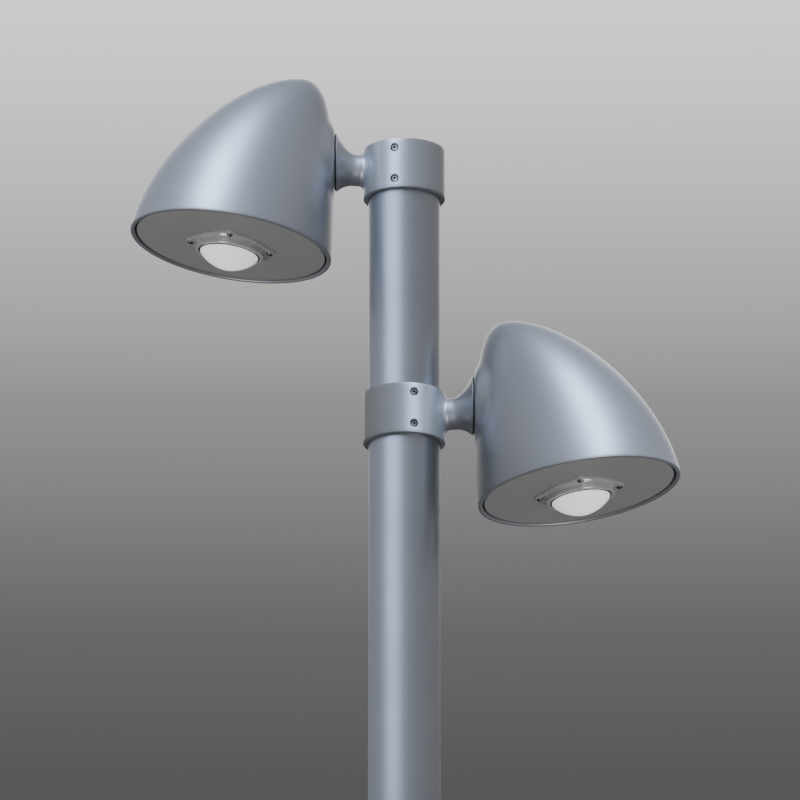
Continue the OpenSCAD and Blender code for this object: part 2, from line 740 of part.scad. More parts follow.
mast_tube();
mast_cap();
mast_spigot();
mast_screws();
for (side = SIDES) {
    at_collar(side) bracket();
    at_collar(side) set_screws();
    at_collar(side) swivel_stud();
    at_collar(side) swivel_gasket();
    at_collar(side) swivel_washer();
    at_collar(side) swivel_nut();
    at_collar(side) cable_bush();
    at_collar(side) head_shell();
    at_collar(side) cover_plate();
    at_collar(side) plate_seal();
    at_collar(side) lens_ring();
    at_collar(side) lens_dome();
    at_collar(side) dome_seal();
    at_collar(side) lens_screws();
    at_collar(side) lens_spacers();
    at_collar(side) led_board();
    at_collar(side) led_chip();
    at_collar(side) heat_sink();
    at_collar(side) sink_screws();
    at_collar(side) driver_bracket();
    at_collar(side) bracket_screws();
    at_collar(side) driver();
    at_collar(side) driver_screws();
    at_collar(side) terminal_block();
    at_collar(side) led_lead();
}
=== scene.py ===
"""A twin-head mast luminaire: two bell-shaped lamp heads on collars round the top of a mast."""
import json
import math

import bpy
from mathutils import Matrix, Vector


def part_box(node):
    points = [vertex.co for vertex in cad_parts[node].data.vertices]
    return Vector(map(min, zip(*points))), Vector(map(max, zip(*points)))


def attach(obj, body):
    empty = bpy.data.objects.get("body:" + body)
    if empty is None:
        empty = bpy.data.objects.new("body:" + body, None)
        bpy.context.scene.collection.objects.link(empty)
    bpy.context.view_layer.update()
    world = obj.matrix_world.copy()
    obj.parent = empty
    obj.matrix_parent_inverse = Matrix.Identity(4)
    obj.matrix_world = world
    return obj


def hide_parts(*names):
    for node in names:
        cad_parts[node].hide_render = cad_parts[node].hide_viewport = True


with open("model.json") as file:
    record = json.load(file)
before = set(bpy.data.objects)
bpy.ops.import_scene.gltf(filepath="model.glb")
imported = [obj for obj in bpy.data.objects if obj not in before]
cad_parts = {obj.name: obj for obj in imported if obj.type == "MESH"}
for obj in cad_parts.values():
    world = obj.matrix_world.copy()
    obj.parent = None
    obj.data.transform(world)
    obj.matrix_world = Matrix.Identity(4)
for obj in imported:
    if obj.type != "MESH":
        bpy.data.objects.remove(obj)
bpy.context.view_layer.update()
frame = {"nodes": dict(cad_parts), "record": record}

MM = 0.001
SIDES = ("upper", "lower")


# ---- camera ----
# The lamp is seen from the ground, well below it, through a long lens. The view is level with the arms,
# so that one head points left and the other right.

collar_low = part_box("lower_bracket")[0].z
COLLAR_H = 55 * MM
VIEW_RISE = math.radians(18.67)
VIEW_DISTANCE = 9.95
VIEW_WIDTH = 0.849
aim = Vector((-4.5 * MM, 0, collar_low + COLLAR_H / 2 + 22 * MM))

bpy.ops.object.select_all(action="DESELECT")
bpy.ops.object.camera_add(
    location=aim - VIEW_DISTANCE * Vector((0, math.cos(VIEW_RISE), math.sin(VIEW_RISE))),
    rotation=(math.radians(90) + VIEW_RISE, 0, 0),
)
camera = bpy.context.object
camera.name = "view_from_the_ground"
camera.data.lens = camera.data.sensor_width * VIEW_DISTANCE / VIEW_WIDTH
camera.data.clip_end = 500
bpy.context.scene.camera = camera


# ---- studio ----
# A pale floor far below the mast's top, a grey room that is lighter above than below, and large soft lamps.

FLOOR_Z = -3.8

bpy.ops.mesh.primitive_circle_add(vertices=96, radius=150, fill_type="NGON", location=(0, 0, FLOOR_Z))
floor = bpy.context.object
floor.name = "floor"
bpy.ops.object.transform_apply(location=True, rotation=True, scale=True)


class Link:
    """What comes out of a node. Arithmetic on it adds Math nodes."""

    def __init__(self, finish, socket):
        self.finish, self.socket = finish, socket

    def math(self, operation, *values):
        return self.finish.node("ShaderNodeMath", {"operation": operation}, dict(enumerate(values)))

    def __add__(self, other):
        return self.math("ADD", self, other)

    def __radd__(self, other):
        return self.math("ADD", other, self)

    def __sub__(self, other):
        return self.math("SUBTRACT", self, other)

    def __rsub__(self, other):
        return self.math("SUBTRACT", other, self)

    def __mul__(self, other):
        return self.math("MULTIPLY", self, other)

    def __rmul__(self, other):
        return self.math("MULTIPLY", other, self)


class Finish:
    """A material's or a world's node tree. node() adds one node and gives its output."""

    def __init__(self, owner):
        owner.use_nodes = True
        self.owner, self.tree = owner, owner.node_tree
        self.tree.nodes.clear()

    def node(self, kind, settings=None, sockets=None, out=0):
        made = self.tree.nodes.new(kind)
        for key, value in (settings or {}).items():
            if key == "stops":
                ramp = made.color_ramp.elements
                for spare in ramp[2:]:
                    ramp.remove(spare)
                for number, (place, colour) in enumerate(value):
                    stop = ramp[number] if number < 2 else ramp.new(place)
                    stop.position, stop.color = place, colour
            else:
                setattr(made, key, value)
        for key, value in (sockets or {}).items():
            if isinstance(value, Link):
                self.tree.links.new(value.socket, made.inputs[key])
            else:
                made.inputs[key].default_value = value
        return Link(self, made.outputs[out]) if made.outputs else made

    def place(self):
        return self.node("ShaderNodeTexCoord", out="Object")

    def noise(self, scale, detail=2, roughness=0.5, stretch=(1, 1, 1)):
        spot = self.node("ShaderNodeMapping", sockets={"Vector": self.place(), "Scale": stretch})
        return self.node("ShaderNodeTexNoise", sockets={
            "Vector": spot, "Scale": scale, "Detail": detail, "Roughness": roughness})

    def between(self, share, first, second):
        return self.node("ShaderNodeMix", {"data_type": "RGBA", "clamp_factor": True},
                         {"Factor": share, 6: first, 7: second}, out=2)

    def step(self, value, low, high, to_low=0, to_high=1):
        return self.node("ShaderNodeMapRange", {"clamp": True}, {
            "Value": value, "From Min": low, "From Max": high, "To Min": to_low, "To Max": to_high})

    def bump(self, height, strength, distance):
        return self.node("ShaderNodeBump", sockets={
            "Height": height, "Strength": strength, "Distance": distance})

    def finished(self, **sockets):
        """Closes the tree with a principled shader; names are socket names with _ for each space."""
        shader = self.node("ShaderNodeBsdfPrincipled", sockets={
            key.replace("_", " "): value for key, value in sockets.items()})
        self.node("ShaderNodeOutputMaterial", sockets={"Surface": shader})
        return self.owner


def finish(name):
    return Finish(bpy.data.materials.new(name))


def pale_floor():
    make = finish("pale_floor")
    cloud = make.noise(0.4, detail=3)
    return make.finished(
        Base_Color=make.between(cloud, (0.62, 0.62, 0.61, 1), (0.68, 0.68, 0.67, 1)),
        Roughness=0.85)


floor.data.materials.append(pale_floor())
floor.visible_glossy = False

bpy.context.scene.world = bpy.data.worlds.new("grey_room")
room = Finish(bpy.context.scene.world)
way = room.node("ShaderNodeTexCoord", out="Generated")
height = room.node("ShaderNodeSeparateXYZ", sockets={0: way}, out=2)
behind = room.node("ShaderNodeSeparateXYZ", sockets={0: way}, out=1)
wall = room.node("ShaderNodeValToRGB", {"stops": [
    (0.0, (0.05, 0.05, 0.05, 1)), (0.22, (0.07, 0.07, 0.07, 1)), (0.31, (0.30, 0.30, 0.30, 1)),
    (0.50, (0.30, 0.30, 0.30, 1)), (0.60, (0.13, 0.13, 0.13, 1)), (0.639, (0.083, 0.080, 0.080, 1)),
    (0.650, (0.134, 0.129, 0.131, 1)), (0.660, (0.275, 0.266, 0.266, 1)), (0.670, (0.60, 0.585, 0.585, 1)),
    (0.681, (1.12, 1.095, 1.10, 1)), (0.71, (0.52, 0.50, 0.485, 1)), (0.78, (0.35, 0.335, 0.32, 1)),
    (1.0, (0.36, 0.345, 0.33, 1))]}, {0: room.step(height, -1, 1)})
dark_end = room.step(behind, 0.70, 0.93) * room.step(height, 0.1, -0.1)
wall = room.between(dark_end, wall, (0.05, 0.05, 0.05, 1))
light = room.node("ShaderNodeBackground", sockets={"Color": wall, "Strength": 1.15})
room.node("ShaderNodeOutputWorld", sockets={"Surface": light})


def soft_lamp(name, turn, rise, away, width, height, watts, colour, target=(0, 0, 0.68)):
    """A large soft rectangle of light, so many degrees to the right of the viewer and above the target."""
    turn, rise = math.radians(turn), math.radians(rise)
    place = Vector(target) + away * Vector((
        math.sin(turn) * math.cos(rise), -math.cos(turn) * math.cos(rise), math.sin(rise)))
    bpy.ops.object.light_add(type="AREA", location=place)
    lamp = bpy.context.object
    lamp.name = name
    lamp.data.shape = "RECTANGLE"
    lamp.data.size, lamp.data.size_y = width, height
    lamp.data.energy = watts
    lamp.data.color = colour
    lamp.rotation_euler = (Vector(target) - place).to_track_quat("-Z", "Y").to_euler()
    return lamp


COOL, PLAIN = (0.75, 0.92, 1.22), (1, 1, 0.98)
key_mast = soft_lamp("key_for_the_mast", -38, 38, 5.0, 3.8, 4.4, 270, COOL)
key_left = soft_lamp("key_from_the_left", -28, 44, 5.0, 1.8, 4.4, 362, COOL)
key_right = soft_lamp("key_from_the_right", 28, 44, 5.0, 1.8, 4.4, 362, COOL)
low_left = soft_lamp("bounce_from_the_left", -35, -34, 5.0, 2.5, 1.6, 115, PLAIN)
low_right = soft_lamp("bounce_from_the_right", 35, -34, 5.0, 2.5, 1.6, 115, PLAIN)
soft_lamp("soft_from_behind", 180, 32, 6.0, 5.0, 3.0, 100, PLAIN)


# ---- mast tube ----
# The top section of a round steel mast, powder coated in silver grey. Behind each collar a slot lets the
# cable out; the tube keeps its own shape and gets its coat here.

def powder_coat(name, base, glint, flake):
    """Silver-grey powder coat: a fine orange peel, and metal flakes that catch the light a little."""
    make = finish(name)
    cloud = make.noise(9, detail=3)
    grain = make.noise(900, detail=2)
    peel = make.noise(420, detail=1)
    spark = make.node("ShaderNodeTexVoronoi", {"feature": "F1"}, {
        "Vector": make.place(), "Scale": 2600.0}, out="Color")
    bright = make.node("ShaderNodeSeparateColor", sockets={0: spark})
    share = make.step(cloud, 0.35, 0.65, 0.3, 0.7) + (bright - 0.5) * flake + (grain - 0.5) * 0.25
    colour = make.between(share, base, glint)
    dull = make.step(cloud, 0.3, 0.7, 0.02, -0.02) + make.step(bright, 0, 1, 0.05, -0.05) + 0.43
    return make.finished(
        Base_Color=colour, Roughness=dull, Metallic=0.72, IOR=1.45, Coat_Weight=0.12, Coat_Roughness=0.35,
        Normal=make.bump(peel + grain * 0.3, 0.10, 0.00012))


mast_coat = powder_coat("mast_coat", (0.30, 0.315, 0.350, 1), (0.36, 0.375, 0.410, 1), 0.5)


def carry_over(node, material):
    """A CAD node that keeps its shape gets its material."""
    for place in frame["nodes"][node].material_slots:
        place.material = material


carry_over("mast_tube", mast_coat)


# ---- mast cap ----
# A moulded plastic lid with a skirt that grips the tube's bore. Its rim is rounded, and its top is very
# slightly domed so that rain runs off.

POLE = 0.01 * MM


def turned(name, profile, sides=96):
    """A loop of points extruded through the profile's (radius, height) steps, as on a lathe."""
    steps = [(max(radius, POLE), height) for radius, height in profile]
    bpy.ops.object.select_all(action="DESELECT")
    bpy.ops.mesh.primitive_circle_add(vertices=sides, radius=steps[0][0], location=(0, 0, steps[0][1]))
    piece = bpy.context.object
    piece.name = piece.data.name = name
    bpy.ops.object.transform_apply(location=True, rotation=True, scale=True)
    bpy.ops.object.mode_set(mode="EDIT")
    for (r0, z0), (r1, z1) in zip(steps, steps[1:]):
        bpy.ops.mesh.extrude_region_move(TRANSFORM_OT_translate={"value": (0, 0, z1 - z0)})
        bpy.ops.transform.resize(value=(r1 / r0, r1 / r0, 1), center_override=(0, 0, 0))
    bpy.ops.mesh.select_all(action="SELECT")
    bpy.ops.mesh.remove_doubles(threshold=2.2 * POLE)
    bpy.ops.mesh.delete_loose()
    bpy.ops.mesh.select_all(action="SELECT")
    bpy.ops.mesh.normals_make_consistent(inside=False)
    bpy.ops.object.mode_set(mode="OBJECT")
    return piece


def arc(radius, height, bend, start, end, steps=6):
    """Points of a round edge: its centre at (radius, height), from one angle to another in degrees."""
    turns = [math.radians(start + (end - start) * i / steps) for i in range(steps + 1)]
    return [(radius + bend * math.cos(a), height + bend * math.sin(a)) for a in turns]


def smooth(piece, angle=35):
    bpy.ops.object.select_all(action="DESELECT")
    piece.select_set(True)
    bpy.context.view_layer.objects.active = piece
    bpy.ops.object.shade_smooth_by_angle(angle=math.radians(angle))
    return piece


def settle(piece, place, body, material, slot_name, *nodes):
    """Moves a finished piece's mesh to its place and ties the piece to its body, node and finish."""
    piece.data.transform(place)
    piece.data.update()
    piece.data.materials.clear()
    piece.data.materials.append(material)
    smooth(piece)
    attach(piece, body)
    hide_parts(*nodes)
    return piece


tube_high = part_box("mast_tube")[1]
MAST_R = tube_high.x
MAST_WALL = 3 * MM
mast_top = tube_high.z
cap_low, cap_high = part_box("mast_cap")
cap_r, cap_edge = cap_high.x, 1.1 * MM
bore = MAST_R - MAST_WALL - 0.1 * MM
lid = cap_high.z - mast_top


def moulded_plastic(name, base, dust):
    """Matt moulded plastic with a fine spark-eroded grain and a little dust."""
    make = finish(name)
    grain = make.noise(1400, detail=2)
    cloud = make.noise(25, detail=4)
    return make.finished(
        Base_Color=make.between(make.step(cloud, 0.45, 0.75), base, dust),
        Roughness=make.step(grain, 0.3, 0.7, 0.46, 0.60),
        Normal=make.bump(grain, 0.25, 0.0001))


cap = turned("mast_cap_lid", [
    (0, lid - 0.2 * MM), (cap_r * 0.5, lid - 0.1 * MM), (cap_r * 0.85, lid - 0.25 * MM),
    *arc(cap_r - cap_edge, lid - cap_edge - 0.3 * MM, cap_edge, 90, 0), (cap_r, 0.1 * MM), (bore, 0.1 * MM),
    (bore, cap_low.z - mast_top + 3 * MM), (bore - 0.8 * MM, cap_low.z - mast_top),
    (bore - 2.5 * MM, cap_low.z - mast_top), (bore - 2.5 * MM, -0.1 * MM), (0, -0.1 * MM),
])
settle(cap, Matrix.Translation((0, 0, mast_top)), "mast",
       moulded_plastic("cap_plastic", (0.055, 0.056, 0.058, 1), (0.13, 0.13, 0.125, 1)),
       "cap_plastic", "mast_cap")


# ---- spigot and its screws ----
# A turned aluminium sleeve that plugs into the mast below, held in the tube by three M8 button-head
# screws in stainless steel. Each screw is drawn once, with its hexagon socket, and then copied.

def turned_metal(name, dark, light, rough, ring_scale):
    """Bright metal with fine lathe marks round Z and faint smears."""
    make = finish(name)
    lines = make.noise(ring_scale, detail=2, stretch=(0.02, 0.02, 1))
    smear = make.noise(60, detail=4)
    return make.finished(
        Base_Color=make.between(lines * 0.8 + smear * 0.2, dark, light),
        Roughness=make.step(smear, 0.3, 0.7, rough - 0.02, rough + 0.03),
        Metallic=1.0,
        Normal=make.bump(lines, 0.15, 0.00005))


mill_aluminium = turned_metal("mill_aluminium", (0.52, 0.53, 0.54, 1), (0.68, 0.69, 0.70, 1), 0.36, 1500)
stainless = turned_metal("stainless", (0.20, 0.198, 0.195, 1), (0.28, 0.277, 0.272, 1), 0.24, 3000)
carry_over("mast_spigot", mill_aluminium)


def cut(piece, tools, operation="DIFFERENCE"):
    """Takes the tools out of the piece, or joins them to it, and clears them away."""
    for tool in tools:
        change = piece.modifiers.new("cut", "BOOLEAN")
        change.object, change.operation, change.solver = tool, operation, "EXACT"
        bpy.context.view_layer.objects.active = piece
        bpy.ops.object.modifier_apply(modifier=change.name)
        bpy.data.objects.remove(tool)
    return piece


def peg(radius, depth, place, sides=48, turn=None):
    """A plain rod for cutting holes, its lower end at a place, along Z or along a turned axis."""
    bpy.ops.object.select_all(action="DESELECT")
    bpy.ops.mesh.primitive_cylinder_add(
        vertices=sides, radius=radius, depth=depth, location=(0, 0, depth / 2))
    rod = bpy.context.object
    bpy.ops.object.transform_apply(location=True, rotation=True, scale=True)
    rod.data.transform(Matrix.Translation(place) @ (turn or Matrix.Identity(4)))
    return rod


def copies(name, piece, places):
    """One mesh made of the piece at each of the places; the first one drawn is used up."""
    made = []
    for place in places:
        twin = piece.copy()
        twin.data = piece.data.copy()
        twin.data.transform(place)
        bpy.context.scene.collection.objects.link(twin)
        made.append(twin)
    bpy.data.objects.remove(piece)
    bpy.ops.object.select_all(action="DESELECT")
    for twin in made:
        twin.select_set(True)
    bpy.context.view_layer.objects.active = made[0]
    bpy.ops.object.join()
    made[0].name = made[0].data.name = name
    return made[0]


def outward(turn, radius, height):
    """A place on a round face: Z of the piece points away from the mast's axis."""
    return (Matrix.Translation((0, 0, height)) @ Matrix.Rotation(math.radians(turn), 4, "Z")
            @ Matrix.Translation((radius, 0, 0)) @ Matrix.Rotation(math.radians(90), 4, "Y"))


JOINT_SCREW_D = 8 * MM
button_r, button_h = JOINT_SCREW_D * 0.84, 3.9 * MM
button = turned("joint_screw", [
    (0, -7 * MM), (3.4 * MM, -7 * MM), (3.8 * MM, -6.5 * MM), (3.8 * MM, 0), (button_r - 0.3 * MM, 0),
    (button_r, 0.5 * MM), (button_r, 1.1 * MM),
    *[(button_r * math.cos(math.radians(a)) ** 0.7,
       1.1 * MM + (button_h - 1.1 * MM) * math.sin(math.radians(a))) for a in (15, 30, 45, 57, 66)],
    (0, button_h),
], sides=48)
cut(button, [peg(JOINT_SCREW_D * 0.36, 4 * MM, (0, 0, button_h - 2.6 * MM), sides=6)])
joint_screws = copies("mast_joint_screws", button, [outward(a, MAST_R, 30 * MM) for a in (90, 210, 330)])
settle(joint_screws, Matrix.Identity(4), "mast", stainless, "stainless", "mast_screws")


# ---- bracket: collar, neck and flange ----
# One aluminium casting, coated like the mast. The collar slides over the tube, the neck leaves it in a
# round fillet and opens like a trumpet into the flange that the head turns on. Six tapped holes take the
# set screws, and a cable way runs from the mast through the neck.

COLLAR_IN_R = MAST_R + 0.12 * MM
COLLAR_R = COLLAR_IN_R + 5.36 * MM
COLLAR_EDGE = 0.45 * MM
NECK_R, NECK_RISE = 16.8 * MM, 6 * MM
FLANGE_R, FLANGE_EDGE, FLANGE_RISE = 31.5 * MM, 1.0 * MM, 15.4 * MM
ARM_REACH = 73 * MM
FLARE_START = 50 * MM
FLARE_BEND, FLARE_LIFT = 2.2, 1.5
SCREW_D, SCREW_EDGE = 8 * MM, 10 * MM
SCREW_TURNS = (104, 0, 256)
STUD_R, CABLE_WAY_R = 9 * MM, 6 * MM


def wrapped(name, rows, sides, place):
    """A sheet of rows by sides whose points are moved to place(row share, angle), then closed round."""
    bpy.ops.object.select_all(action="DESELECT")
    bpy.ops.mesh.primitive_grid_add(x_subdivisions=rows, y_subdivisions=sides, size=1)
    piece = bpy.context.object
    piece.name = piece.data.name = name
    for point in piece.data.vertices:
        point.co = place(point.co.x + 0.5, 2 * math.pi * (point.co.y + 0.5))
    bpy.ops.object.mode_set(mode="EDIT")
    bpy.ops.mesh.select_all(action="SELECT")
    bpy.ops.mesh.remove_doubles(threshold=2.2 * POLE)
    bpy.ops.mesh.normals_make_consistent(inside=False)
    bpy.ops.object.mode_set(mode="OBJECT")
    return piece


def neck_fillet(up):
    return 4.2 * MM + 2.4 * MM * max(0, -up)


def neck_place(share, angle):
    """From the root, sunk a little in the collar, along fillet, neck and trumpet to the flange."""
    across, up = math.cos(angle), math.sin(angle)
    root, rim = 0.36, 0.93
    if share < root:
        fillet = neck_fillet(up)
        turn = math.radians(90) * (1 - share / root)
        ring = NECK_R + fillet * (1 - math.cos(turn))
        depth = math.sqrt(COLLAR_R ** 2 - (ring * across) ** 2) + fillet * (1 - math.sin(turn))
        if share == 0:
            depth -= 0.6 * MM
        return -depth, ring * across, NECK_RISE + ring * up
    start = math.sqrt(COLLAR_R ** 2 - (NECK_R * across) ** 2) + neck_fillet(up)
    if share < rim:
        reach = (share - root) / (rim - root)
        flare_end = ARM_REACH - FLANGE_EDGE
        depth = start + (flare_end - start) * math.sin(math.radians(90) * reach)
        t = min(max((depth - FLARE_START) / (flare_end - FLARE_START), 0), 1)
        ring = NECK_R + (FLANGE_R - 0.3 * MM - NECK_R) * t ** FLARE_BEND
        return -depth, ring * across, NECK_RISE + (FLANGE_RISE - NECK_RISE) * t ** FLARE_LIFT + ring * up
    bend, turn = 0.4 * MM, (share - rim) / (1 - rim)
    if share > 0.999:
        return -ARM_REACH, 0, FLANGE_RISE
    if turn < 0.5:
        a = math.radians(180) * turn
        ring = FLANGE_R - bend + bend * math.sin(a)
        depth = ARM_REACH - FLANGE_EDGE + bend - bend * math.cos(a)
    else:
        a = math.radians(180) * (turn - 0.5)
        ring = FLANGE_R - bend + bend * math.cos(a)
        depth = ARM_REACH - bend + bend * math.sin(a)
    return -depth, ring * across, FLANGE_RISE + ring * up


def unit_place(side):
    """The unit's own frame: the collar's centre, with the arm towards -X, in its place on the mast."""
    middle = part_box(side + "_bracket")[0].z + COLLAR_H / 2
    return Matrix.Translation((0, 0, middle)) @ Matrix.Rotation(0 if side == "upper" else math.pi, 4, "Z")


def along_arm(reach, rise):
    """A place on the arm: Z of the piece points from the mast to the head."""
    return Matrix.Translation((-reach, 0, rise)) @ Matrix.Rotation(math.radians(-90), 4, "Y")


def copy_of(piece, name):
    twin = piece.copy()
    twin.data = piece.data.copy()
    twin.name = twin.data.name = name
    bpy.context.scene.collection.objects.link(twin)
    return twin


top, low = COLLAR_H / 2, -COLLAR_H / 2
collar_wall = [(COLLAR_R, low + COLLAR_EDGE + (COLLAR_H - 2 * COLLAR_EDGE) * i / 14) for i in range(1, 14)]
casting = turned("bracket", [
    (COLLAR_IN_R, low + 0.5 * MM), (COLLAR_IN_R + 0.5 * MM, low),
    *arc(COLLAR_R - COLLAR_EDGE, low + COLLAR_EDGE, COLLAR_EDGE, 270, 360, 4), *collar_wall,
    *arc(COLLAR_R - COLLAR_EDGE, top - COLLAR_EDGE, COLLAR_EDGE, 0, 90, 4),
    (COLLAR_IN_R + 0.5 * MM, top), (COLLAR_IN_R, top - 0.5 * MM), (COLLAR_IN_R, low + 0.5 * MM),
], sides=160)
neck = wrapped("neck", 74, 96, neck_place)
bpy.context.view_layer.objects.active = neck
bpy.ops.object.mode_set(mode="EDIT")
bpy.ops.mesh.select_all(action="DESELECT")
bpy.ops.mesh.select_non_manifold()
bpy.ops.mesh.edge_face_add()
bpy.ops.mesh.select_all(action="SELECT")
bpy.ops.mesh.normals_make_consistent(inside=False)
bpy.ops.object.mode_set(mode="OBJECT")
# The neck's root is trimmed to end inside the collar's wall, clear of the bore.
neck_root_r = COLLAR_IN_R + 2.5 * MM
cut(neck, [peg(neck_root_r, 2 * COLLAR_H, (0, 0, -COLLAR_H), sides=100)])
cut(casting, [neck], "UNION")

way_from, way_to = Vector((-MAST_R + 2 * MM, 0, 5 * MM)), Vector((-ARM_REACH + 6 * MM, 0, FLANGE_RISE))
way_turn = (way_to - way_from).to_track_quat("Z", "Y").to_matrix().to_4x4()
# The stud's hole has an odd number of sides, so that its edges miss those of the flange.
holes = [
    peg(CABLE_WAY_R, (way_to - way_from).length, way_from, turn=way_turn),
    peg(STUD_R, 9 * MM, along_arm(ARM_REACH - 8 * MM, FLANGE_RISE).to_translation(), sides=47,
        turn=Matrix.Rotation(math.radians(-90), 4, "Y")),
]
screw_places = [(turn, z * (COLLAR_H / 2 - SCREW_EDGE)) for turn in SCREW_TURNS for z in (-1, 1)]
for turn, z in screw_places:
    hole = turned("screw_hole", [
        (0, -7.4 * MM), (SCREW_D / 2, -7.4 * MM), (SCREW_D / 2, -0.97 * MM),
        (SCREW_D / 2 + 1.0 * MM, 0.2 * MM), (0, 0.2 * MM)], sides=48)
    hole.data.transform(outward(turn, COLLAR_R, z))
    holes.append(hole)
cut(casting, holes)

bracket_coat = powder_coat("head_coat", (0.305, 0.32, 0.355, 1), (0.37, 0.385, 0.42, 1), 0.5)
for side in SIDES:
    twin = copy_of(casting, side + "_bracket_casting")
    settle(twin, unit_place(side), side + "_arm", bracket_coat, "head_coat", side + "_bracket")
bpy.data.objects.remove(casting)


# ---- set screws ----
# M8 socket set screws in stainless steel that clamp each collar, two in a row at three places round it.
# Their ends lie just below the collar's face. Their steel is painted almost black as painted shade for the
# shadow in the sunk holes, so each shows as a dark hexagon in a ring.

SCREW_SINK = 1.5 * MM
screw_len = COLLAR_R - SCREW_SINK - MAST_R - 0.3 * MM
thread = [(3.9 * MM - (0.35 * MM if i % 2 else 0), -screw_len + 1 * MM + i * 0.55 * MM)
          for i in range(int((screw_len - 1.8 * MM) / (0.55 * MM)))]
set_screw = turned("set_screw", [
    (0, -screw_len + 0.6 * MM), (1.4 * MM, -screw_len), (2.7 * MM, -screw_len), *thread,
    (3.9 * MM, -1.5 * MM), (2.9 * MM, 0), (2.6 * MM, 0), (2.4 * MM, -0.3 * MM), (0, -0.3 * MM),
], sides=48)
cut(set_screw, [peg(2.3 * MM, 4 * MM, (0, 0, -3.0 * MM), sides=6)])
set_screws = copies("set_screws", set_screw,
                    [outward(turn, COLLAR_R - SCREW_SINK, z) for turn, z in screw_places])
# The set screws' steel is painted very dark: painted shade for the shadow in their sunk holes.
set_screw_steel = turned_metal("set_screw_steel", (0.085, 0.085, 0.09, 1), (0.13, 0.13, 0.135, 1), 0.2, 900)
for side in SIDES:
    twin = copy_of(set_screws, side + "_set_screw_set")
    settle(twin, unit_place(side), side + "_arm", set_screw_steel, "stainless", side + "_set_screws")
bpy.data.objects.remove(set_screws)


# ---- swivel between neck and head ----
# A hollow stud, washer and nut clamp the head on the neck's flange, with a rubber gasket between them
# and a bush where the cable leaves the stud. They keep their own shapes.

def soft_rubber(name, base):
    make = finish(name)
    bloom = make.noise(40, detail=4)
    grain = make.noise(1200, detail=1)
    return make.finished(
        Base_Color=make.between(make.step(bloom, 0.4, 0.8), base, (0.05, 0.05, 0.05, 1)),
        Roughness=make.step(grain, 0.3, 0.7, 0.62, 0.8),
        Normal=make.bump(grain, 0.2, 0.0001))


rubber = soft_rubber("rubber_seal", (0.012, 0.012, 0.013, 1))
for side in SIDES:
    for part in ("swivel_stud", "swivel_washer", "swivel_nut"):
        carry_over(side + "_" + part, stainless)
    for part in ("swivel_gasket", "cable_bush", "plate_seal"):
        carry_over(side + "_" + part, rubber)


# ---- head shell ----
# A deep bell cast in aluminium, pulled over towards the mast: each section parallel to the rim is a
# circle. A flat round pad on its side meets the neck's flange. The wall is open at the rim only, and the
# rim is rounded over.

HEAD_R, HEAD_H, HEAD_WALL = 108.7 * MM, 198.8 * MM, 4.5 * MM
PEAK_SHIFT = 47.5 * MM
FAR_SIDE, NEAR_SIDE = (1.68, 1.6), (1.15, 2.5)
HEAD_TILT = math.radians(9.3)
PLATE_MIDDLE = 3.5 * MM
HUB_X = ARM_REACH + 1.4 * MM
HUB_LAND, HUB_BLEND = FLANGE_R + 0.2 * MM, 19 * MM


def head_place(side):
    """The head's own frame: the rim's centre, Z into the bell, X towards the mast, set on its arm."""
    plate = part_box(side + "_cover_plate")
    middle = (plate[0] + plate[1]) / 2
    lean = Matrix.Rotation(HEAD_TILT, 4, "Y")
    spin = Matrix.Rotation(0 if side == "upper" else math.pi, 4, "Z")
    return Matrix.Translation(middle) @ spin @ lean @ Matrix.Translation((0, 0, -PLATE_MIDDLE))


to_unit = unit_place("upper").inverted() @ head_place("upper")
to_head = to_unit.inverted()


def bell_section(rise):
    """Middle and radius of the bell's circle at a share of its height, from the curves of its two sides."""
    far = PEAK_SHIFT - (HEAD_R + PEAK_SHIFT) * max(0, 1 - rise ** FAR_SIDE[0]) ** (1 / FAR_SIDE[1])
    near = PEAK_SHIFT + (HEAD_R - PEAK_SHIFT) * max(0, 1 - rise ** NEAR_SIDE[0]) ** (1 / NEAR_SIDE[1])
    return (far + near) / 2, (near - far) / 2


bpy.ops.object.select_all(action="DESELECT")
bpy.ops.mesh.primitive_uv_sphere_add(segments=224, ring_count=176, radius=1)
bell = bpy.context.object
bell.name = bell.data.name = "bell"
bpy.ops.object.mode_set(mode="EDIT")
bpy.ops.mesh.select_all(action="SELECT")
bpy.ops.mesh.bisect(plane_co=(0, 0, 0), plane_no=(0, 0, 1), clear_inner=True)
bpy.ops.object.mode_set(mode="OBJECT")
for point in bell.data.vertices:
    rise, angle = max(point.co.z, 0), math.atan2(point.co.y, point.co.x)
    if rise < 0.0001:
        rise = 0
    middle, radius = bell_section(min(rise, 1))
    spot = to_unit @ Vector((middle + radius * math.cos(angle), radius * math.sin(angle), HEAD_H * rise))
    from_hub = max(math.hypot(spot.y, spot.z - FLANGE_RISE), 1 * MM)
    if from_hub < HUB_LAND + HUB_BLEND and spot.x > -2 * HUB_X:
        away = max(0, from_hub - HUB_LAND) / HUB_BLEND
        weight = 1 - away ** 3 * (10 - 15 * away + 6 * away ** 2)
        spot.x += (-HUB_X - spot.x) * weight
    point.co = to_head @ spot
wall = bell.modifiers.new("wall", "SOLIDIFY")
wall.thickness, wall.offset, wall.use_even_offset = HEAD_WALL, -1, True
bpy.context.view_layer.objects.active = bell
bpy.ops.object.modifier_apply(modifier=wall.name)
edge = bell.modifiers.new("edge", "BEVEL")
edge.width, edge.segments, edge.limit_method, edge.angle_limit = 1.6 * MM, 4, "ANGLE", math.radians(60)
bpy.ops.object.modifier_apply(modifier=edge.name)

